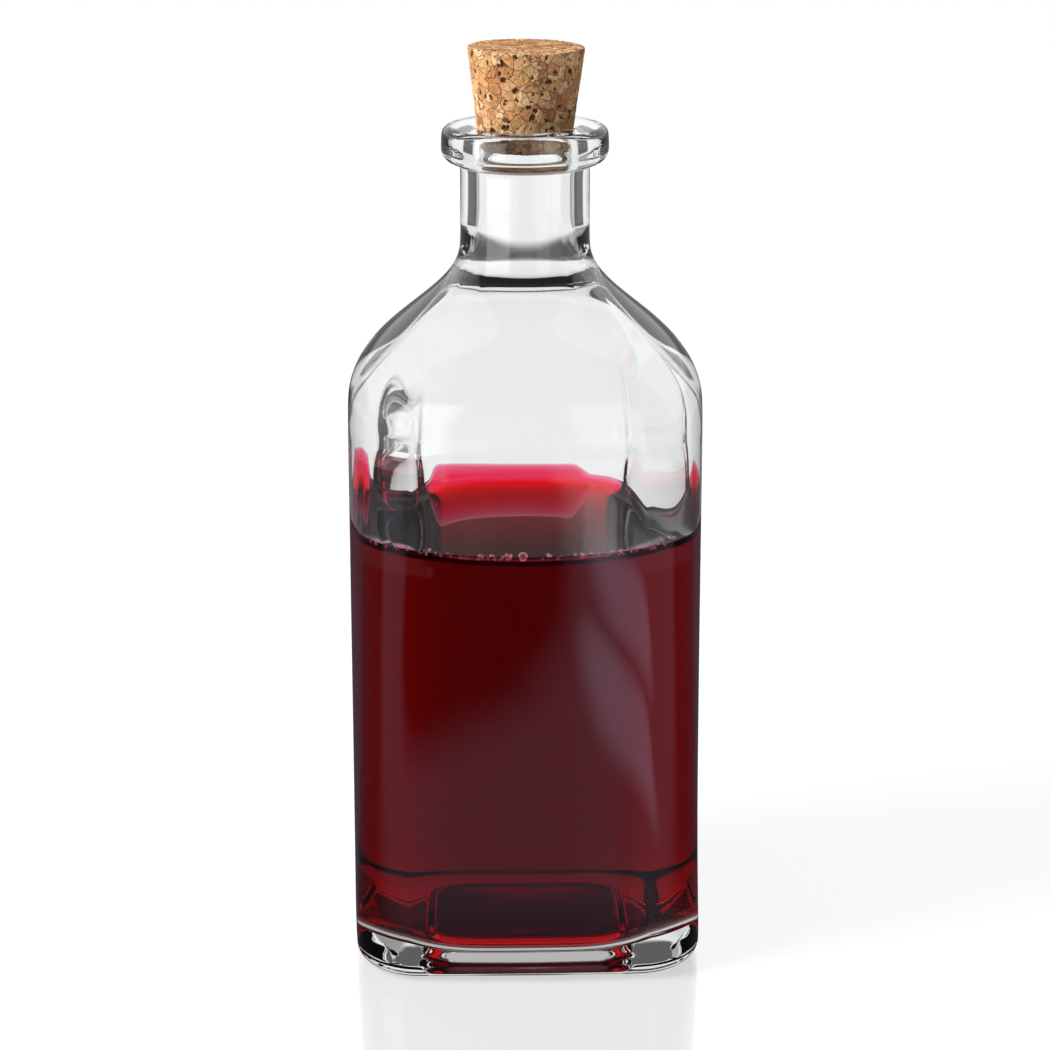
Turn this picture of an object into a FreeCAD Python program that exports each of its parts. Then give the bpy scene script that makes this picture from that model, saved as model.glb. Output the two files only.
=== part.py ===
"""Square glass bottle with a round neck, a ring lip, a red drink and a tapered cork.

All sizes are in millimetres. The bottle stands on z = 0 with its axis on the
Z axis, and one flat side of the body faces -Y.
"""
import FreeCAD, Part
import math
import os

from FreeCAD import Vector

# Outside of the bottle
body_width = 75.0             # across two opposite flat sides
corner_radius = 15.5          # upright corners of the body at its base
corners_left = 0.45           # what is left of their squareness where the shoulder starts
heel_radius = 5.0             # rounding between the sides and the base
shoulder_start = 117.0        # height at which the flat sides end
shoulder_height = 34.0        # from there up to the straight neck
shoulder_side_pull = 16.8     # how strongly the shoulder carries the sides on upwards
shoulder_neck_pull = 11.4     # how strongly it carries the neck on downwards
shoulder_roundness = 1.6      # above 1 the corners fade out early on the way to the neck

# Neck, mouth and lip
bore_radius = 10.0
neck_wall = 3.45
neck_length = 16.5            # straight neck between the shoulder and the lip
lip_overhang = 3.95           # how far the lip stands out from the neck
lip_height = 7.6
lip_top_rounding = 2.2
lip_under_rounding = 3.0
mouth_rounding = 1.0

# Hollow of the bottle: rounder than the outside, so the glass is thick in the corners
wall = 2.5                    # thinnest glass of the four sides
hollow_flat = 9.5             # half-length of the hollow's flat sides at the floor
hollow_squareness = 0.32      # what is left of that squareness at the hollow's shoulder
hollow_shift = -0.4           # the hollow lies this far off the axis along X
floor_thickness = 5.2         # glass under the hollow's edge
floor_rise = 1.6              # the floor is this much higher in the middle
floor_rise_radius = 26.0
hollow_heel_radius = 7.0      # rounding between the floor and the hollow's sides
shoulder_glass = 7.0          # the hollow's shoulder starts this much lower than the outside's
hollow_neck_rise = 5.0        # and reaches the bore this much higher than the neck begins
hollow_side_pull = 10.0
hollow_neck_pull = 8.0

# Recess under the base, inside the band of glass that the bottle stands on
recess_half_width = 22.0
recess_corner_radius = 8.0
recess_depth = 2.6
recess_slope = 1.6            # how far each side of the recess leans in over its depth
recess_rounding = 0.8

# Drink
drink_level = 90.5            # height of its surface above the table
drink_gap = 0.1               # from the glass

# Cork
cork_insert = 4.5             # length inside the mouth
cork_proud = 16.0             # length above the lip
cork_taper = 0.126            # growth in radius for each millimetre of length
cork_gap = 0.1                # from the bore, where the cork seats
cork_edge = 0.6               # worn rounding of both ends
cork_lean = 0.9               # degrees, towards +X

# Fineness of the freely curved surfaces
quarter_points = 16           # around a quarter of an outline, close together at its corner
corner_crowding = 1.5
shoulder_sections = 12

half_width = body_width / 2
neck_radius = bore_radius + neck_wall
lip_radius = neck_radius + lip_overhang
neck_start = shoulder_start + shoulder_height
lip_under = neck_start + neck_length
bottle_height = lip_under + lip_height


def square_reach(angle, half, flat):
    """Distance from the middle of a square with round corners to its edge.

    half is half the square's width and flat is half the length of its flat sides.
    """
    fold = abs((angle + math.pi / 4) % (math.pi / 2) - math.pi / 4)
    if fold <= math.atan2(flat, half):
        return half / math.cos(fold)
    corner = half - flat
    along = flat * math.sqrt(2) * math.cos(fold - math.pi / 4)
    return along + math.sqrt(along ** 2 - 2 * flat ** 2 + corner ** 2)


def section(height, half, square, squareness, shift=0.0):
    """Closed smooth outline, lying at a height.

    half is its half-width. It bulges at its corners as the rounded square does
    that has the half-width and the flat given in square, times its squareness:
    0 gives a circle and 1 gives corners as strong as the square's own.
    """
    points = []
    for quarter in range(4):
        for i in range(quarter_points):
            way = 2 * i / quarter_points - 1
            from_corner = math.copysign(abs(way) ** corner_crowding, way)
            angle = (2 * quarter + 1 + from_corner) * math.pi / 4
            reach = half + squareness * (square_reach(angle, *square) - square[0])
            points.append(Vector(reach * math.cos(angle) + shift, reach * math.sin(angle), height))
    curve = Part.BSplineCurve()
    curve.interpolate(Points=points, PeriodicFlag=True)
    return Part.Wire([curve.toShape()])


def prism(bottom, top, half, square, squareness, shift=0.0):
    """Upright block whose squareness goes from a first value to a second one."""
    low = section(bottom, half, square, squareness[0], shift)
    high = section(top, half, square, squareness[1], shift)
    return Part.makeLoft([low, high], True, True)


def tube_core(bottom, top, radius):
    """Round block that matches the round end of a shoulder."""
    return prism(bottom, top, radius, (radius, 0.0), (0.0, 0.0))


def shoulder(ends, halves, pulls, square, squareness, shift=0.0):
    """Solid that leaves upright sides below and meets an upright round neck above.

    ends are its lowest and highest height, halves its half-widths there, and
    pulls say how strongly it carries on the sides and the neck.
    """
    low, high = ends
    wide, narrow = halves
    side_pull, neck_pull = pulls
    curve = Part.BezierCurve()
    curve.setPoles([Vector(wide, 0, low), Vector(wide, 0, low + side_pull),
                    Vector(narrow, 0, high - neck_pull), Vector(narrow, 0, high)])
    wires = []
    for i in range(shoulder_sections + 1):
        place = curve.value(i / shoulder_sections)
        share = (place.x - narrow) / (wide - narrow)
        wires.append(section(place.z, place.x, square,
                             squareness * share ** shoulder_roundness, shift * share))
    return Part.makeLoft(wires, True, False)


def edges_at(shape, height):
    """Edges of a shape that lie wholly at one height."""
    found = []
    for edge in shape.Edges:
        box = edge.BoundBox
        if abs(box.ZMin - height) < 1e-3 and abs(box.ZMax - height) < 1e-3:
            found.append(edge)
    return found


def lip():
    """Round ring at the mouth, with a softer edge below than above."""
    disc = Part.makeCylinder(lip_radius, lip_height, Vector(0, 0, lip_under))
    disc = disc.makeFillet(lip_under_rounding, edges_at(disc, lip_under))
    return disc.makeFillet(lip_top_rounding, edges_at(disc, bottle_height))


def outside():
    """The bottle with no hollow in it."""
    square = (half_width, half_width - corner_radius)
    body = prism(0.0, shoulder_start, half_width, square, (1.0, corners_left))
    body = body.makeFillet(heel_radius, edges_at(body, 0.0))
    top = shoulder((shoulder_start, neck_start), (half_width, neck_radius),
                   (shoulder_side_pull, shoulder_neck_pull), square, corners_left)
    neck = tube_core(neck_start, lip_under + lip_height / 2, neck_radius)
    return body.fuse([top, neck, lip()])


def floor_swelling(gap):
    """Ball whose top lifts the floor of the hollow in the middle."""
    ball_radius = (floor_rise_radius ** 2 + floor_rise ** 2) / (2 * floor_rise)
    centre = Vector(hollow_shift, 0, floor_thickness + floor_rise - ball_radius)
    return Part.makeSphere(ball_radius + gap, centre)


def hollow(gap=0.0):
    """Room inside the bottle up to the bore, or the same room drawn in by a gap."""
    half = half_width - wall - gap
    square = (half, hollow_flat)
    low = floor_thickness + gap
    high = shoulder_start - shoulder_glass
    room = prism(low, high, half, square, (1.0, hollow_squareness), hollow_shift)
    room = room.makeFillet(hollow_heel_radius - gap, edges_at(room, low))
    room = room.cut(floor_swelling(gap))
    top = shoulder((high, neck_start + hollow_neck_rise), (half, bore_radius - gap),
                   (hollow_side_pull, hollow_neck_pull), square, hollow_squareness, hollow_shift)
    return room.fuse(top)


def bore():
    """The round hole through the neck and the lip."""
    return tube_core(neck_start + hollow_neck_rise, bottle_height, bore_radius)


def recess():
    """Shallow square recess under the base, with leaning sides."""
    square = (recess_half_width, recess_half_width - recess_corner_radius)
    low = section(0.0, recess_half_width, square, 1.0)
    high = section(recess_depth, recess_half_width - recess_slope, square, 1.0)
    room = Part.makeLoft([low, high], True, True)
    return room.makeFillet(recess_rounding, edges_at(room, recess_depth))


def bottle():
    glass = outside().cut([hollow(), bore(), recess()])
    rim = min(edges_at(glass, bottle_height), key=lambda edge: edge.Length)
    return glass.makeFillet(mouth_rounding, [rim])


def drink():
    """All that is in the hollow below the drink's surface."""
    cutter = Part.makeBox(body_width, body_width, bottle_height,
                          Vector(-half_width, -half_width, drink_level))
    return hollow(drink_gap).cut(cutter)


def cork():
    """Tapered stopper that leans a little and rests in the mouth."""
    seat = bottle_height - mouth_rounding
    bottom = bottle_height - cork_insert
    length = cork_insert + cork_proud
    bottom_radius = bore_radius - cork_gap - cork_taper * (seat - bottom)
    top_radius = bottom_radius + cork_taper * length
    body = Part.makeCone(bottom_radius, top_radius, length, Vector(0, 0, bottom))
    body = body.makeFillet(cork_edge, edges_at(body, bottom) + edges_at(body, bottom + length))
    body.rotate(Vector(0, 0, seat), Vector(0, 1, 0), cork_lean)
    return body


def main():
    os.makedirs("parts", exist_ok=True)
    for name, shape in (("bottle", bottle()), ("drink", drink()), ("cork", cork())):
        shape.Solids[0].exportStep(os.path.join("parts", name + ".step"))
        print(name, len(shape.Solids), "solid, valid:", shape.isValid())


main()
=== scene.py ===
"""Clear square bottle with a red drink and a cork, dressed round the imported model.

Sizes are in metres. The bottle stands on z = 0 and one flat side faces -Y.
"""
import math
import random

import bpy
from mathutils import Matrix, Vector


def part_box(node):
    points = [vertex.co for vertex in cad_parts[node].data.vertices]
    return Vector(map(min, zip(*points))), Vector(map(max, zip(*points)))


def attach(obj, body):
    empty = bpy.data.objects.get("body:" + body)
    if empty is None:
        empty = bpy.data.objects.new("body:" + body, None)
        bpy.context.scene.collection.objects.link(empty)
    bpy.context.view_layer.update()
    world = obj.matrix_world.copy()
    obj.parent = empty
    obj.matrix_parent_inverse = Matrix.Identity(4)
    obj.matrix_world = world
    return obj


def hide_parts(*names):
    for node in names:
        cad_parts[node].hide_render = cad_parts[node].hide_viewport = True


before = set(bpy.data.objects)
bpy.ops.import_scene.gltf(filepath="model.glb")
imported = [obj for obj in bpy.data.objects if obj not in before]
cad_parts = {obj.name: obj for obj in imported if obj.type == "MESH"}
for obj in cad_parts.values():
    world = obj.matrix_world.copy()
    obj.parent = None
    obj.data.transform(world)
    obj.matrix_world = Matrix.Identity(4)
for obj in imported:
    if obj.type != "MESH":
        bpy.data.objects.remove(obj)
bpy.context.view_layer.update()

MM = 0.001
DEGREE = math.pi / 180

bottle_low, bottle_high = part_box("bottle")

# Outside of the bottle
half_width = (bottle_high.x - bottle_low.x) / 2
bottle_height = bottle_high.z
corner_flat = half_width - 15.5 * MM      # half-length of the flat part of each side at the base
corners_left = 0.45                       # what is left of the corners at the shoulder
heel_radius = 5.0 * MM
shoulder_start = 117.0 * MM
shoulder_side_pull = 16.8 * MM
shoulder_neck_pull = 11.4 * MM
shoulder_roundness = 1.6
neck_radius = 13.45 * MM
neck_start = 151.0 * MM
lip_radius = 17.4 * MM
lip_under = bottle_height - 7.6 * MM
lip_under_rounding = 3.0 * MM
lip_top_rounding = 2.2 * MM
mouth_rounding = 1.0 * MM

# Recess under the base
recess_half = 22.0 * MM
recess_square = 0.636                     # its corners against those of the base
recess_depth = 2.6 * MM
recess_slope = 1.6 * MM

# Hollow
hollow_shift = -0.4 * MM
hollow_half = half_width - 2.5 * MM
hollow_flat = 9.5 * MM
hollow_squareness = 0.32
hollow_floor = 5.2 * MM
hollow_heel = 7.0 * MM
floor_rise = 1.6 * MM
floor_rise_radius = 26.0 * MM
hollow_shoulder = 110.0 * MM
hollow_side_pull = 14.0 * MM
hollow_neck_pull = 8.0 * MM
bore_radius = 10.0 * MM
bore_start = neck_start + 5.0 * MM

# Drink
drink_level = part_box("drink")[1].z
glass_bite = 0.40 * MM                    # how far the drink reaches into the glass
climb = 3.4 * MM                          # how far it climbs the glass at its edge
film_left = -28.0 * MM                    # the part of the far side where it clings higher up
film_right = 15.0 * MM
film_near = 20.0 * MM

# Cork
cork_bottom = bottle_height - 4.5 * MM
cork_top = bottle_height + 16.0 * MM
cork_seat = bottle_height - 1.0 * MM
cork_taper = 0.126
cork_bottom_radius = bore_radius - 0.1 * MM - cork_taper * (cork_seat - cork_bottom)
cork_lean = 0.9 * DEGREE
cork_edge = 0.45 * MM                     # rounding of both rims

# How finely the pieces are divided
corner_steps = 10
side_cuts = 5
upright_steps = 6
shoulder_steps = 14
rounding_levels = 2
cork_sides = 480
cork_rows = 65
cork_cap_rings = 30

# How strongly each thing bends light
glass_index = 1.5
drink_index = 1.34


# ---------------------------------------------------------------- modelling

def to_object_mode():
    if bpy.context.object and bpy.context.object.mode != "OBJECT":
        bpy.ops.object.mode_set(mode="OBJECT")


def only(*objects):
    """Selects these objects alone and makes the first one active."""
    to_object_mode()
    bpy.ops.object.select_all(action="DESELECT")
    for thing in objects:
        thing.select_set(True)
    bpy.context.view_layer.objects.active = objects[0]


def edit(kind):
    bpy.ops.object.mode_set(mode="EDIT")
    bpy.ops.mesh.select_mode(type=kind)


def pick(piece, verts=None, edges=None, faces=None):
    """Selects the parts of a mesh that a test accepts, and goes on in edit mode."""
    to_object_mode()
    mesh = piece.data
    for part in (*mesh.vertices, *mesh.edges, *mesh.polygons):
        part.select = False
    points = mesh.vertices
    if verts:
        for v in points:
            v.select = verts(v.co)
        edit("VERT")
    elif edges:
        bpy.context.tool_settings.mesh_select_mode = (False, True, False)
        for e in mesh.edges:
            e.select = edges(points[e.vertices[0]].co, points[e.vertices[1]].co)
        edit("EDGE")
    else:
        for f in mesh.polygons:
            f.select = faces(f)
        edit("FACE")


class Ring:
    """The ring of vertices that a shell is being grown by."""

    def __init__(self, name, half, flat, z, shift=0.0):
        """Starts a shell as one flat face: a square with round corners."""
        to_object_mode()
        bpy.ops.object.select_all(action="DESELECT")
        bpy.ops.mesh.primitive_plane_add(size=2 * half, location=(shift, 0, z))
        self.piece = bpy.context.object
        self.piece.name = name
        bpy.ops.object.transform_apply(location=True, rotation=True, scale=True)
        edit("VERT")
        bpy.ops.mesh.select_all(action="SELECT")
        bpy.ops.mesh.bevel(offset=half - flat, offset_type="OFFSET", segments=corner_steps,
                           affect="VERTICES", profile=0.5)
        pick(self.piece, edges=lambda a, b: (a - b).length > 1.2 * flat)
        bpy.ops.mesh.subdivide(number_cuts=side_cuts)
        pick(self.piece, faces=lambda f: True)
        points = [v.co for v in self.piece.data.vertices]
        reach = [math.hypot(p.x - shift, p.y) for p in points]
        self.z, self.half, self.shift, self.square = z, half, shift, 1.0
        self.bulge = sum(reach) / len(reach) - half

    def grow(self, z, half, square=None, shift=None):
        """Extrudes the ring to a height, a half-width and a squareness."""
        square = self.square if square is None else square
        shift = self.shift if shift is None else shift
        bpy.ops.mesh.extrude_region_move(
            TRANSFORM_OT_translate={"value": (shift - self.shift, 0, z - self.z)})
        mean = self.half + self.square * self.bulge
        keep = square / self.square if self.square > 1e-6 else 0.0
        gain = (half - keep * self.half) / mean
        size = keep + gain
        middle = (shift, 0, z)
        if abs(size - 1) > 1e-7:
            bpy.ops.transform.resize(value=(size, size, 1), center_override=middle)
        if gain > 1e-7:
            bpy.ops.transform.tosphere(value=gain / size, center_override=middle)
        self.z, self.half, self.square, self.shift = z, half, square, shift

    def shrink(self, z, share):
        """Extrudes the ring to a height and draws it in evenly."""
        self.grow(z, self.half * share, self.square * share)

    def arc(self, centre_z, centre_half, radius, first, last, steps, square=None):
        """Grows the ring round an arc. Angles are in degrees, 0 outwards and 90 up."""
        for i in range(1, steps + 1):
            turn = (first + (last - first) * i / steps) * DEGREE
            self.grow(centre_z + radius * math.sin(turn),
                      centre_half + radius * math.cos(turn), square)

    def shoulder(self, ends, halves, pulls, squareness, shift, steps):
        """Grows the ring from upright sides over a shoulder to a round upright neck."""
        low, high = ends
        wide, narrow = halves
        poles = [(wide, low), (wide, low + pulls[0]), (narrow, high - pulls[1]), (narrow, high)]
        for i in range(1, steps + 1):
            t = i / steps
            weights = ((1 - t) ** 3, 3 * t * (1 - t) ** 2, 3 * t * t * (1 - t), t ** 3)
            half = sum(w * p[0] for w, p in zip(weights, poles))
            z = sum(w * p[1] for w, p in zip(weights, poles))
            share = max((half - narrow) / (wide - narrow), 0.0)
            self.grow(z, half, squareness * share ** shoulder_roundness, shift * share)

    def pick_face(self):
        """Selects the flat face that closes the grown end."""
        z = self.z
        pick(self.piece, faces=lambda f: len(f.vertices) > 20 and abs(f.center.z - z) < 1e-6)

    def pick_rim(self, z):
        """Selects the open edges at a height."""
        self.z = z
        pick(self.piece, edges=lambda a, b: abs(a.z - z) < 1e-6 and abs(b.z - z) < 1e-6)


def close_with_fan():
    """Fills the selected ring of edges with triangles that meet in its middle."""
    bpy.ops.mesh.edge_face_add()
    bpy.ops.mesh.poke()


def outward(piece):
    """Merges what lies in one place and turns every face outwards."""
    to_object_mode()
    only(piece)
    edit("VERT")
    bpy.ops.mesh.select_all(action="SELECT")
    bpy.ops.mesh.remove_doubles(threshold=1e-6)
    bpy.ops.mesh.normals_make_consistent(inside=False)
    bpy.ops.object.mode_set(mode="OBJECT")


def smoothed(piece):
    only(piece)
    rounding = piece.modifiers.new("rounding", "SUBSURF")
    rounding.levels = rounding.render_levels = rounding_levels
    bpy.ops.object.modifier_apply(modifier=rounding.name)
    bpy.ops.object.shade_smooth()


def mark_faces(piece, name, test):
    """Writes 1 on the faces that a test accepts and 0 on the others."""
    to_object_mode()
    mark = piece.data.attributes.new(name, "FLOAT", "FACE")
    for i, face in enumerate(piece.data.polygons):
        mark.data[i].value = 1.0 if test(face) else 0.0


def hollow_square(z):
    """Squareness of the hollow's upright part at a height."""
    share = (z - hollow_floor) / (hollow_shoulder - hollow_floor)
    return 1 + (hollow_squareness - 1) * min(max(share, 0.0), 1.0)


def grow_hollow(name, bite, top):
    """Shell of the hollow from the middle of its floor up to a height."""
    floor_half = hollow_half - hollow_heel
    floor_z = hollow_floor - bite
    ring = Ring(name, floor_half, hollow_flat, floor_z, hollow_shift)

    def rise(half):
        """How far the floor stands up at this distance from its middle."""
        return floor_rise * max(1 - (half / floor_rise_radius) ** 2, 0.0)

    # The first face is drawn in to the middle of the floor and grown out again from there
    start = 0.12
    bpy.ops.transform.resize(value=(start, start, 1), center_override=(hollow_shift, 0, floor_z))
    lift = rise(floor_half * start)
    bpy.ops.transform.translate(value=(0, 0, lift))
    ring.z, ring.half, ring.square = floor_z + lift, floor_half * start, start
    first_z = ring.z
    for share in (0.4, 0.65, 0.82, 0.93, 1.0):
        half = floor_half * share
        ring.grow(floor_z + rise(half), half, share)
    heel = hollow_heel + bite
    ring.arc(hollow_floor + hollow_heel, floor_half, heel, -90, 0, 6, 1.0)
    low = hollow_floor + hollow_heel
    for i in range(1, upright_steps + 1):
        z = low + (min(top, hollow_shoulder) - low) * i / upright_steps
        ring.grow(z, hollow_half + bite, hollow_square(z))
    return ring, first_z


def make_bottle():
    ring = Ring("bottle_glass", half_width - heel_radius, corner_flat, 0.0)
    ring.arc(heel_radius, half_width - heel_radius, heel_radius, -90, 0, 6)
    for i in range(1, upright_steps + 1):
        z = heel_radius + (shoulder_start - heel_radius) * i / upright_steps
        ring.grow(z, half_width, 1 - (1 - corners_left) * z / shoulder_start)
    ring.shoulder((shoulder_start, neck_start), (half_width, neck_radius),
                  (shoulder_side_pull, shoulder_neck_pull), corners_left, 0.0, shoulder_steps)
    # Neck, and the small curve that leads out under the lip
    for z in (neck_start + 8 * MM, lip_under - 2.2 * MM, lip_under - 0.8 * MM):
        ring.grow(z, neck_radius)
    ring.grow(lip_under - 0.2 * MM, neck_radius + 0.15 * MM)
    ring.grow(lip_under, neck_radius + 0.6 * MM)
    # Lip, up to the edge of the mouth
    ring.arc(lip_under + lip_under_rounding, lip_radius - lip_under_rounding,
             lip_under_rounding, -90, 0, 5)
    ring.arc(bottle_height - lip_top_rounding, lip_radius - lip_top_rounding,
             lip_top_rounding, 0, 90, 5)
    ring.grow(bottle_height, bore_radius + mouth_rounding + 1.4 * MM)
    ring.grow(bottle_height, bore_radius + mouth_rounding)
    outer_top = ring.z
    ring.pick_face()
    bpy.ops.mesh.delete(type="ONLY_FACE")

    # Underside: the band that the bottle stands on, then the recess
    ring.pick_rim(0.0)
    ring.half, ring.square = half_width - heel_radius, 1.0
    ring.grow(0.0, half_width - heel_radius - 3 * MM, 0.9)
    ring.grow(0.0, recess_half + 0.7 * MM, recess_square + 0.02)
    ring.grow(0.25 * MM, recess_half - 0.1 * MM, recess_square)
    ring.grow(recess_depth - 0.9 * MM, recess_half - 0.7 * recess_slope, recess_square)
    ring.grow(recess_depth - 0.2 * MM, recess_half - recess_slope, recess_square)
    ring.grow(recess_depth, recess_half - recess_slope - 0.8 * MM, recess_square * 0.97)
    for share in (0.75, 0.6, 0.35):
        ring.shrink(recess_depth, share)
    close_with_fan()
    outer = ring.piece

    ring, first_z = grow_hollow("hollow", 0.0, hollow_shoulder)
    ring.shoulder((hollow_shoulder, bore_start), (hollow_half, bore_radius),
                  (hollow_side_pull, hollow_neck_pull), hollow_squareness, hollow_shift,
                  shoulder_steps)
    for z in (bore_start + 9 * MM, bottle_height - 3.0 * MM):
        ring.grow(z, bore_radius)
    ring.grow(bottle_height - mouth_rounding, bore_radius)
    ring.grow(bottle_height - 0.3 * MM, bore_radius + 0.3 * MM)
    inner_top = ring.z
    ring.pick_face()
    bpy.ops.mesh.delete(type="ONLY_FACE")
    ring.pick_rim(first_z)
    close_with_fan()

    # The two shells are joined at the mouth
    only(outer, ring.piece)
    bpy.ops.object.join()

    def by_the_mouth(p):
        return abs(p.xy.length - bore_radius - mouth_rounding) < 0.2 * MM

    pick(outer, edges=lambda a, b: (abs(a.z - b.z) < 1e-7 and (
        (abs(a.z - outer_top) < 1e-6 and by_the_mouth(a) and by_the_mouth(b))
        or abs(a.z - inner_top) < 1e-6)))
    bpy.ops.mesh.bridge_edge_loops()
    outward(outer)
    smoothed(outer)
    return outer


def climb_the_back(drink):
    """Draws the drink's edge further up the far side, where it still clings after a tilt."""
    # Each row of the edge: its least and greatest height, its lift and how far it moves inwards
    for low, high, lift, inward in ((3.3, 9.0, 6.6, 0.0), (3.0, 3.3, 5.8, 0.2),
                                    (2.2, 2.6, 4.4, 0.7), (1.5, 2.0, 2.2, 0.8)):
        pick(drink, verts=lambda p: (p.y > film_near and film_left < p.x < film_right
                                     and low * MM < p.z - drink_level <= high * MM))
        bpy.ops.transform.translate(value=(0, -inward * MM, lift * MM))
    to_object_mode()


def make_drink():
    top = drink_level + climb
    ring, first_z = grow_hollow("red_drink", glass_bite, top - 1.2 * MM)
    wall = hollow_half + glass_bite
    ring.grow(top - 0.3 * MM, wall)
    ring.grow(top, wall)
    # The edge climbs the glass in a hollow curve that flattens out towards the middle:
    # each pair is a distance from the wall and a height above the level, in millimetres
    for inset, height in ((0.75, 3.25), (1.0, 2.5), (1.5, 1.75), (2.3, 1.05), (3.5, 0.55),
                          (5.5, 0.2), (8.5, 0.03), (13.0, 0.0)):
        ring.shrink(drink_level + height * MM, (wall - inset * MM) / ring.half)
    for share in (0.6, 0.3):
        ring.shrink(drink_level, share)
    bpy.ops.mesh.poke()
    ring.pick_rim(first_z)
    close_with_fan()
    drink = ring.piece
    climb_the_back(drink)
    outward(drink)
    smoothed(drink)
    return drink


def cork_frame():
    """The cork's seat and its axis."""
    return Vector((0, 0, cork_seat)), Matrix.Rotation(cork_lean, 3, "Y")


def sunk(piece):
    """How far each vertex of the cork lies inside the smooth cone, in millimetres."""
    seat, turn = cork_frame()
    length = cork_top - cork_bottom
    depths = []
    for v in piece.data.vertices:
        local = turn.inverted() @ (v.co - seat) + seat
        low, high = local.z - cork_bottom, cork_top - local.z
        side = cork_bottom_radius + cork_taper * (length - high) - local.xy.length
        depths.append(max(min(side, low, high), 0.0) / MM)
    return depths


def sink(cork, name, scale, low, high, depth):
    """Sinks the surface where a cloudy pattern is low. Scale and depth are in millimetres."""
    pattern = bpy.data.textures.new(name, "CLOUDS")
    pattern.noise_scale = scale * MM
    pattern.noise_depth = 2
    pattern.use_color_ramp = True
    pattern.color_ramp.elements[0].position = low
    pattern.color_ramp.elements[0].color = (0, 0, 0, 1)
    pattern.color_ramp.elements[1].position = high
    pattern.color_ramp.elements[1].color = (1, 1, 1, 1)
    relief = cork.modifiers.new(name, "DISPLACE")
    relief.texture, relief.texture_coords = pattern, "LOCAL"
    relief.strength, relief.mid_level = depth * MM, 1.0
    bpy.ops.object.modifier_apply(modifier=relief.name)


def make_cork():
    length = cork_top - cork_bottom
    top_radius = cork_bottom_radius + cork_taper * length
    seat, turn = cork_frame()
    middle = seat + turn @ (Vector((0, 0, (cork_top + cork_bottom) / 2)) - seat)
    to_object_mode()
    bpy.ops.object.select_all(action="DESELECT")
    bpy.ops.mesh.primitive_cone_add(vertices=cork_sides, radius1=cork_bottom_radius,
                                    radius2=top_radius, depth=length, end_fill_type="NGON",
                                    location=middle, rotation=(0, cork_lean, 0))
    cork = bpy.context.object
    cork.name = "cork_stopper"
    bpy.ops.object.transform_apply(location=True, rotation=True, scale=True)
    # Its rims are rounded first, while only the rims have short edges
    pick(cork, edges=lambda a, b: (a - b).length < length / 2)
    bpy.ops.mesh.bevel(offset=cork_edge, segments=2, affect="EDGES")
    pick(cork, edges=lambda a, b: (a - b).length > length / 2)
    bpy.ops.mesh.subdivide(number_cuts=cork_rows - 1)
    for end, height in ((-1, cork_bottom), (1, cork_top)):
        pick(cork, faces=lambda f: len(f.vertices) > 20 and f.normal.z * end > 0.5)
        centre = seat + turn @ (Vector((0, 0, height)) - seat)
        for i in range(cork_cap_rings - 1, 0, -1):
            bpy.ops.mesh.extrude_region_move(TRANSFORM_OT_translate={"value": (0, 0, 0)})
            share = i / (i + 1)
            bpy.ops.transform.resize(value=(share, share, share), center_override=centre)
        bpy.ops.mesh.poke()
    outward(cork)
    only(cork)
    sink(cork, "pits", 1.6, 0.27, 0.33, 0.5)
    sink(cork, "grains", 1.1, 0.2, 0.8, 0.16)
    bpy.ops.object.shade_smooth()
    # How deep each point is sunk drives the painted shade in the pits
    depth = cork.data.attributes.new("sunk", "FLOAT", "POINT")
    for i, value in enumerate(sunk(cork)):
        depth.data[i].value = value
    return cork


def reach_of_hollow(angle, z):
    """Distance from the hollow's axis to its wall. The angle is taken from -Y towards +X."""
    flat, half = hollow_flat, hollow_half
    fold = abs((angle + math.pi / 4) % (math.pi / 2) - math.pi / 4)
    if fold <= math.atan2(flat, half):
        square = half / math.cos(fold)
    else:
        along = flat * math.sqrt(2) * math.cos(fold - math.pi / 4)
        square = along + math.sqrt(along ** 2 - 2 * flat ** 2 + (half - flat) ** 2)
    return half + hollow_square(z) * (square - half)


def make_bubbles():
    """Small bubbles along the drink's edge at the front, and one large one."""
    random.seed(7)
    to_object_mode()
    bpy.ops.object.select_all(action="DESELECT")
    bpy.ops.mesh.primitive_ico_sphere_add(subdivisions=2, radius=1.0)
    first = bpy.context.object
    first.name = "bubbles"
    bpy.ops.object.shade_smooth()
    # Each bubble has an angle, a radius and a height. Lengths are in millimetres here
    places = [(-1.5, 0.95, 0.0)]
    for start, end, count in ((-82, -56, 16), (-54, -38, 26), (-37, -5, 34), (3, 30, 26),
                              (30, 52, 24)):
        for i in range(count):
            places.append((random.uniform(start, end), random.uniform(0.13, 0.34),
                           random.uniform(-0.45, 0.6)))
    beads = []
    for angle, radius, height in places:
        z = drink_level + climb - 0.35 * MM + height * MM
        out = reach_of_hollow(angle * DEGREE, z) - (0.9 * radius + 0.35) * MM
        bead = first.copy()
        bead.data = first.data.copy()
        bead.scale = (radius * MM, radius * MM, radius * MM)
        bead.location = (hollow_shift + out * math.sin(angle * DEGREE),
                         -out * math.cos(angle * DEGREE), z)
        bpy.context.scene.collection.objects.link(bead)
        beads.append(bead)
    bpy.data.objects.remove(first)
    only(*beads)
    bpy.ops.object.join()
    bpy.ops.object.transform_apply(location=True, rotation=True, scale=True)
    beads[0].name = "bubbles"
    return beads[0]


bottle = make_bottle()
drink = make_drink()
cork = make_cork()
bubbles = make_bubbles()



def is_wetted(face):
    """Tells whether this face of the glass lies against the drink."""
    x, y, z = face.center
    inwards = face.normal.x * x + face.normal.y * y < 0 or face.normal.z > 0.5
    inside = max(abs(x), abs(y)) < half_width - 1.3 * MM and math.hypot(x, y) < 43 * MM
    return hollow_floor - 1 * MM < z < drink_level + climb and inwards and inside


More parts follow.
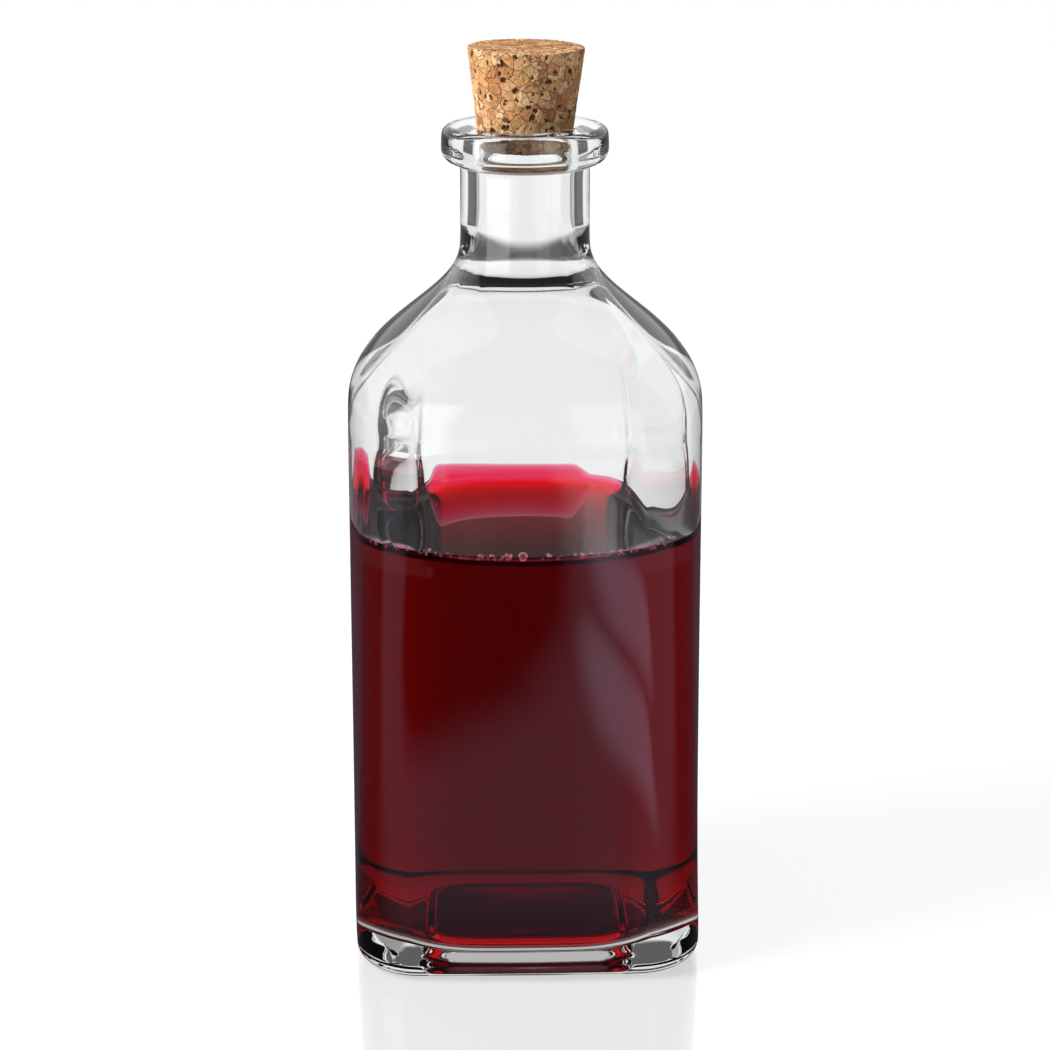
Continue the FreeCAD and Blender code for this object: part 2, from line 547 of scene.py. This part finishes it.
def is_on_glass(face):
    """Tells whether this face of the drink lies against the glass, and isn't its free surface."""
    return not (face.center.z > drink_level - 1 * MM and face.normal.z > 0.02)


mark_faces(bottle, "wetted", is_wetted)
mark_faces(drink, "on_glass", is_on_glass)


# ---------------------------------------------------------------- materials

class Wiring:
    """Short hand for laying out shader nodes."""

    def __init__(self, owner):
        owner.use_nodes = True
        self.tree = owner.node_tree
        self.tree.nodes.clear()

    def node(self, kind, **settings):
        made = self.tree.nodes.new(kind)
        for key, value in settings.items():
            setattr(made, key, value)
        return made

    def join(self, output, socket):
        self.tree.links.new(output, socket)

    def put(self, socket, value):
        if isinstance(value, bpy.types.NodeSocket):
            self.join(value, socket)
        else:
            socket.default_value = value

    def calc(self, operation, first, second=None, third=None):
        made = self.node("ShaderNodeMath", operation=operation)
        for socket, value in zip(made.inputs, (first, second, third)):
            if value is not None:
                self.put(socket, value)
        return made.outputs[0]

    def step(self, value, low, high, start=0.0, end=1.0):
        """Goes smoothly from start to end as value goes from low to high."""
        made = self.node("ShaderNodeMapRange", interpolation_type="SMOOTHSTEP")
        for name, number in (("Value", value), ("From Min", low), ("From Max", high),
                             ("To Min", start), ("To Max", end)):
            self.put(made.inputs[name], number)
        return made.outputs["Result"]

    def between(self, value, low, high, soft):
        return self.calc("MULTIPLY", self.step(value, low - soft, low + soft),
                         self.step(value, high - soft, high + soft, 1.0, 0.0))

    def mix(self, share, first, second):
        made = self.node("ShaderNodeMixShader")
        self.put(made.inputs[0], share)
        self.join(first, made.inputs[1])
        self.join(second, made.inputs[2])
        return made.outputs[0]

    def add(self, first, second):
        made = self.node("ShaderNodeAddShader")
        self.join(first, made.inputs[0])
        self.join(second, made.inputs[1])
        return made.outputs[0]

    def mix_number(self, share, first, second):
        made = self.node("ShaderNodeMix", data_type="FLOAT")
        self.put(made.inputs[0], share)
        self.put(made.inputs[2], first)
        self.put(made.inputs[3], second)
        return made.outputs[0]

    def mix_colour(self, share, first, second, blend="MIX"):
        made = self.node("ShaderNodeMix", data_type="RGBA", blend_type=blend)
        self.put(made.inputs[0], share)
        self.put(made.inputs[6], first)
        self.put(made.inputs[7], second)
        return made.outputs[2]

    def shader(self, kind, **inputs):
        made = self.node(kind)
        for name, value in inputs.items():
            self.put(made.inputs[name.replace("_", " ")], value)
        return made.outputs[0]


def rgb(red, green, blue):
    return (red, green, blue, 1.0)


def finish_of(piece, material):
    piece.data.materials.clear()
    piece.data.materials.append(material)


def wet_side(w, index, index_beyond):
    """Side where glass and drink meet: it bends light, and mirrors the little they differ by."""
    bending = w.shader("ShaderNodeBsdfRefraction", Color=rgb(1, 1, 1), IOR=index)
    mirror = w.shader("ShaderNodeBsdfAnisotropic", Color=rgb(1, 1, 1), Roughness=0.0)
    edge = w.node("ShaderNodeFresnel")
    edge.inputs["IOR"].default_value = index / index_beyond
    from_inside = w.node("ShaderNodeNewGeometry").outputs["Backfacing"]
    share = w.calc("MULTIPLY", edge.outputs[0], w.calc("SUBTRACT", 1.0, from_inside))
    return w.mix(share, bending, mirror)


def glass_material():
    material = bpy.data.materials.new("clear_glass")
    w = Wiring(material)
    place = w.node("ShaderNodeTexCoord").outputs["Object"]
    waves = w.node("ShaderNodeTexNoise")
    w.put(waves.inputs["Vector"], place)
    waves.inputs["Scale"].default_value = 55.0
    waves.inputs["Detail"].default_value = 1.0
    bump = w.node("ShaderNodeBump")
    bump.inputs["Strength"].default_value = 0.06
    bump.inputs["Distance"].default_value = 0.0012
    w.join(waves.outputs["Fac"], bump.inputs["Height"])
    dry = w.shader("ShaderNodeBsdfGlass", Color=rgb(0.985, 0.99, 0.987), IOR=glass_index,
                   Normal=bump.outputs["Normal"])
    wetted = w.node("ShaderNodeAttribute", attribute_name="wetted").outputs["Fac"]
    out = w.node("ShaderNodeOutputMaterial")
    w.join(w.mix(wetted, dry, wet_side(w, glass_index, drink_index)), out.inputs["Surface"])
    return material


def drink_material():
    material = bpy.data.materials.new("red_drink")
    w = Wiring(material)
    surface = w.shader("ShaderNodeBsdfGlass", Color=rgb(1, 1, 1), IOR=drink_index)
    on_glass = w.node("ShaderNodeAttribute", attribute_name="on_glass").outputs["Fac"]
    out = w.node("ShaderNodeOutputMaterial")
    w.join(w.mix(on_glass, surface, wet_side(w, drink_index, glass_index)),
           out.inputs["Surface"])
    w.join(w.shader("ShaderNodeVolumeAbsorption", Color=rgb(0.9745, 0.0, 0.35), Density=1500.0),
           out.inputs["Volume"])
    return material


def bubble_material():
    material = bpy.data.materials.new("bubble_skin")
    w = Wiring(material)
    film = w.shader("ShaderNodeBsdfGlass", Color=rgb(1.0, 0.82, 0.84), IOR=1.30)
    # A painted pink glow, strongest towards each bubble's rim, is laid over the tinted glass film
    painted_glow = w.shader("ShaderNodeEmission", Color=rgb(0.75, 0.48, 0.50), Strength=1.0)
    rim = w.node("ShaderNodeLayerWeight")
    rim.inputs["Blend"].default_value = 0.35
    out = w.node("ShaderNodeOutputMaterial")
    w.join(w.mix(w.calc("MULTIPLY", rim.outputs["Facing"], 0.75), film, painted_glow),
           out.inputs["Surface"])
    return material


def cork_material():
    material = bpy.data.materials.new("pressed_cork")
    w = Wiring(material)
    place = w.node("ShaderNodeTexCoord").outputs["Object"]
    chips_per_metre = 420.0
    # The chips' straight edges are bent by a slow noise
    drift = w.node("ShaderNodeTexNoise")
    w.put(drift.inputs["Vector"], place)
    drift.inputs["Scale"].default_value = 260.0
    drift.inputs["Detail"].default_value = 3.0
    bent = w.mix_colour(0.0012, place, drift.outputs["Color"], "LINEAR_LIGHT")
    chips = w.node("ShaderNodeTexVoronoi")
    chips.inputs["Scale"].default_value = chips_per_metre
    w.join(bent, chips.inputs["Vector"])
    seams = w.node("ShaderNodeTexVoronoi", feature="DISTANCE_TO_EDGE")
    seams.inputs["Scale"].default_value = chips_per_metre
    w.join(bent, seams.inputs["Vector"])
    tone = w.node("ShaderNodeSeparateColor")
    w.join(chips.outputs["Color"], tone.inputs[0])
    ramp = w.node("ShaderNodeValToRGB")
    w.join(tone.outputs[0], ramp.inputs[0])
    stops = ramp.color_ramp.elements
    stops[0].position, stops[0].color = 0.0, rgb(0.42, 0.17, 0.065)
    stops[1].position, stops[1].color = 1.0, rgb(0.80, 0.52, 0.28)
    middle = stops.new(0.45)
    middle.color = rgb(0.60, 0.31, 0.13)
    grain = w.node("ShaderNodeTexNoise")
    w.put(grain.inputs["Vector"], place)
    grain.inputs["Scale"].default_value = 1400.0
    grain.inputs["Detail"].default_value = 4.0
    fine = w.mix_colour(0.55, ramp.outputs[0], w.mix_colour(w.step(grain.outputs["Fac"], 0.3, 0.7),
                        rgb(0.40, 0.40, 0.40), rgb(1.25, 1.2, 1.15)), "MULTIPLY")
    # Seams between the chips are darker, and the bottoms of the pits get painted shade that
    # deepens with how far they are sunk
    dark = w.step(seams.outputs["Distance"], 0.0, 0.05, 0.35, 1.0)
    pits = w.node("ShaderNodeAttribute", attribute_name="sunk").outputs["Fac"]
    dark = w.calc("MULTIPLY", dark, w.step(pits, 0.12, 0.42, 1.0, 0.2))
    colour = w.mix_colour(1.0, fine, dark, "MULTIPLY")
    bump = w.node("ShaderNodeBump")
    bump.inputs["Strength"].default_value = 0.6
    bump.inputs["Distance"].default_value = 0.0004
    w.join(w.calc("ADD", dark, grain.outputs["Fac"]), bump.inputs["Height"])
    out = w.node("ShaderNodeOutputMaterial")
    w.join(w.shader("ShaderNodeBsdfPrincipled", Base_Color=colour, Roughness=0.85,
                    Normal=bump.outputs[0]), out.inputs["Surface"])
    return material


finish_of(bottle, glass_material())
finish_of(drink, drink_material())
finish_of(cork, cork_material())
finish_of(bubbles, bubble_material())

for piece, node, slot in ((bottle, "bottle", "clear_glass"), (drink, "drink", "red_drink"),
                          (cork, "cork", "cork")):
    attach(piece, "root")
    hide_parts(node)
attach(bubbles, "root")


# ---------------------------------------------------------------- studio

def make_world():
    world = bpy.data.worlds.new("studio")
    bpy.context.scene.world = world
    w = Wiring(world)
    way = w.node("ShaderNodeTexCoord").outputs["Generated"]
    split = w.node("ShaderNodeSeparateXYZ")
    w.join(way, split.inputs[0])
    x, y, z = split.outputs
    up = w.calc("ARCSINE", z)
    round_back = w.calc("ARCTAN2", x, y)
    round_front = w.calc("ARCTAN2", w.calc("MULTIPLY", x, -1.0), w.calc("MULTIPLY", y, -1.0))

    def panel(bearing, left, right, low, high, soft):
        return w.calc("MULTIPLY",
                      w.between(bearing, left * DEGREE, right * DEGREE, soft * DEGREE),
                      w.between(up, low * DEGREE, high * DEGREE, soft * DEGREE))

    # What shows through the glass: a pale wall behind it as seen from each side, darker round it
    through = w.calc("MULTIPLY", w.step(y, -0.1, 0.25), 0.9)
    neck_sides = w.calc("MAXIMUM", panel(round_back, -62, -29, -13, 6, 2),
                        panel(round_back, 29, 62, -13, 6, 2))
    through = w.calc("MULTIPLY", through, w.calc("SUBTRACT", 1.0, neck_sides))
    for bearing, left, right, low, high, soft in ((round_back, -28, 28, -80, 30, 4),
                                                  (round_back, -80, -20, -80, -20, 6),
                                                  (round_back, -125, -62, -26, 30, 5),
                                                  (round_front, -80, -15, -45, 20, 6)):
        through = w.calc("MAXIMUM", through, panel(bearing, left, right, low, high, soft))
    through = w.calc("MAXIMUM", through, 0.12)
    # The drink's surface mirrors a dimmer part of the room, and a less dim one at its right
    for left, right, low, high, loss in ((-24, 13, 12, 30, 0.88), (13, 60, 12, 45, 0.6)):
        lost = w.calc("MULTIPLY", panel(round_back, left, right, low, high, 3), loss)
        through = w.calc("MULTIPLY", through, w.calc("SUBTRACT", 1.0, lost))
    # What the glass mirrors: a large soft lamp at the left in front and a weaker one at the right
    mirrored = w.calc("MAXIMUM", 0.25,
                      w.calc("MULTIPLY", panel(round_front, 27, 71, -14, 40, 4), 3.2))
    mirrored = w.calc("MAXIMUM", mirrored,
                      w.calc("MULTIPLY", panel(round_front, -42, -18, -11, 40, 3), 1.5))
    mirrored = w.calc("MAXIMUM", mirrored, panel(round_back, -90, 90, 2, 89, 4))

    # A transmission ray is a glossy ray too, so the glossy case is tested first
    path = w.node("ShaderNodeLightPath")
    level = w.mix_number(path.outputs["Is Glossy Ray"], 0.34, mirrored)
    level = w.mix_number(path.outputs["Is Transmission Ray"], level, through)
    level = w.mix_number(path.outputs["Is Camera Ray"], level, 1.0)
    out = w.node("ShaderNodeOutputWorld")
    w.join(w.shader("ShaderNodeBackground", Color=rgb(1, 1, 1), Strength=level), out.inputs[0])


def make_floor():
    to_object_mode()
    bpy.ops.object.select_all(action="DESELECT")
    bpy.ops.mesh.primitive_circle_add(vertices=96, radius=0.62, fill_type="NGON",
                                      location=(0, 0, -0.0001))
    floor = bpy.context.object
    floor.name = "floor"
    bpy.ops.object.transform_apply(location=True, rotation=True, scale=True)
    material = bpy.data.materials.new("pale_floor")
    w = Wiring(material)
    place = w.node("ShaderNodeSeparateXYZ")
    w.join(w.node("ShaderNodeTexCoord").outputs["Object"], place.inputs[0])
    x, y, _ = place.outputs

    def spot(cx, cy, rx, ry, soft):
        """1 in an ellipse on the floor, softly down to 0 outside it."""
        dx = w.calc("DIVIDE", w.calc("SUBTRACT", x, cx), rx)
        dy = w.calc("DIVIDE", w.calc("SUBTRACT", y, cy), ry)
        far = w.calc("SQRT", w.calc("ADD", w.calc("MULTIPLY", dx, dx), w.calc("MULTIPLY", dy, dy)))
        return w.step(far, 1 - soft, 1 + soft, 1.0, 0.0)

    # Seen directly it is pale, keeps the shadow and mirrors the bottle a little
    pale = w.add(w.shader("ShaderNodeEmission", Color=rgb(1, 1, 1), Strength=0.84),
                 w.shader("ShaderNodeBsdfDiffuse", Color=rgb(0.25, 0.25, 0.25)))
    seen = w.mix(0.28, pale,
                 w.shader("ShaderNodeBsdfAnisotropic", Color=rgb(1, 1, 1), Roughness=0.13))
    # Seen through the glass, the floor is bright but for a painted shadow under the bottle
    painted_shadow_under_bottle = spot(0.0, 0.0, 0.040, 0.040, 0.25)
    bearing = w.calc("ARCTAN2", x, y)
    lit = w.calc("MAXIMUM", w.between(bearing, -75 * DEGREE, 52 * DEGREE, 6 * DEGREE),
                 w.between(bearing, 110 * DEGREE, 160 * DEGREE, 6 * DEGREE))
    lit = w.mix_number(lit, 0.3, 1.0)
    through = w.shader("ShaderNodeEmission", Color=rgb(1, 1, 1),
                       Strength=w.mix_number(painted_shadow_under_bottle, lit, 0.5))
    # Mirrored in the glass, it has dark patches and one bright streak in front of the bottle
    dark = w.calc("MAXIMUM", spot(-0.10, -0.42, 0.20, 0.245, 0.14),
                  spot(-0.30, -0.62, 0.36, 0.33, 0.14))
    gloss = w.mix_number(dark, w.step(y, -0.09, -0.03, 1.0, 0.15), 0.03)
    streak = w.calc("MAXIMUM", spot(0.085, -0.19, 0.024, 0.07, 0.5),
                    spot(0.15, -0.28, 0.036, 0.07, 0.5))
    gloss = w.calc("ADD", gloss, w.calc("MULTIPLY", streak, 2.6))
    mirrored = w.shader("ShaderNodeEmission", Color=rgb(0.36, 0.33, 0.45), Strength=gloss)
    path = w.node("ShaderNodeLightPath")
    plain = w.shader("ShaderNodeBsdfDiffuse", Color=rgb(0.8, 0.8, 0.8))
    look = w.mix(path.outputs["Is Glossy Ray"], plain, mirrored)
    look = w.mix(path.outputs["Is Transmission Ray"], look, through)
    look = w.mix(path.outputs["Is Camera Ray"], look, seen)
    out = w.node("ShaderNodeOutputMaterial")
    w.join(look, out.inputs["Surface"])
    finish_of(floor, material)


def make_lamp(name, watts, size, azimuth, elevation, distance):
    """Soft square lamp that looks at the bottle. Azimuth 0 is in front, at -Y, and -90 at -X."""
    light = bpy.data.lights.new(name, "AREA")
    light.energy, light.size = watts, size
    lamp = bpy.data.objects.new(name, light)
    bpy.context.scene.collection.objects.link(lamp)
    a, e = azimuth * DEGREE, elevation * DEGREE
    back = Vector((math.sin(a) * math.cos(e), -math.cos(a) * math.cos(e), math.sin(e)))
    lamp.location = Vector((0, 0, 0.12)) + back * distance
    lamp.rotation_euler = back.to_track_quat("Z", "Y").to_euler()
    lamp.visible_glossy = lamp.visible_transmission = lamp.visible_camera = False


def make_camera():
    """Camera a little above the bottle that looks slightly down on it."""
    distance, height, pitch = 0.570, 0.2679, 17.39 * DEGREE
    data = bpy.data.cameras.new("camera")
    data.sensor_width, data.lens = 36.0, 95.93
    camera = bpy.data.objects.new("camera", data)
    bpy.context.scene.collection.objects.link(camera)
    turn = -1.5 * DEGREE
    camera.location = (distance * math.sin(turn), -distance * math.cos(turn), height)
    camera.rotation_euler = (90 * DEGREE - pitch, 0, turn)
    bpy.context.scene.camera = camera


make_world()
make_floor()
make_lamp("key", watts=19.0, size=0.5, azimuth=-72, elevation=36, distance=1.1)
make_camera()
bpy.context.scene.view_settings.view_transform = "Standard"
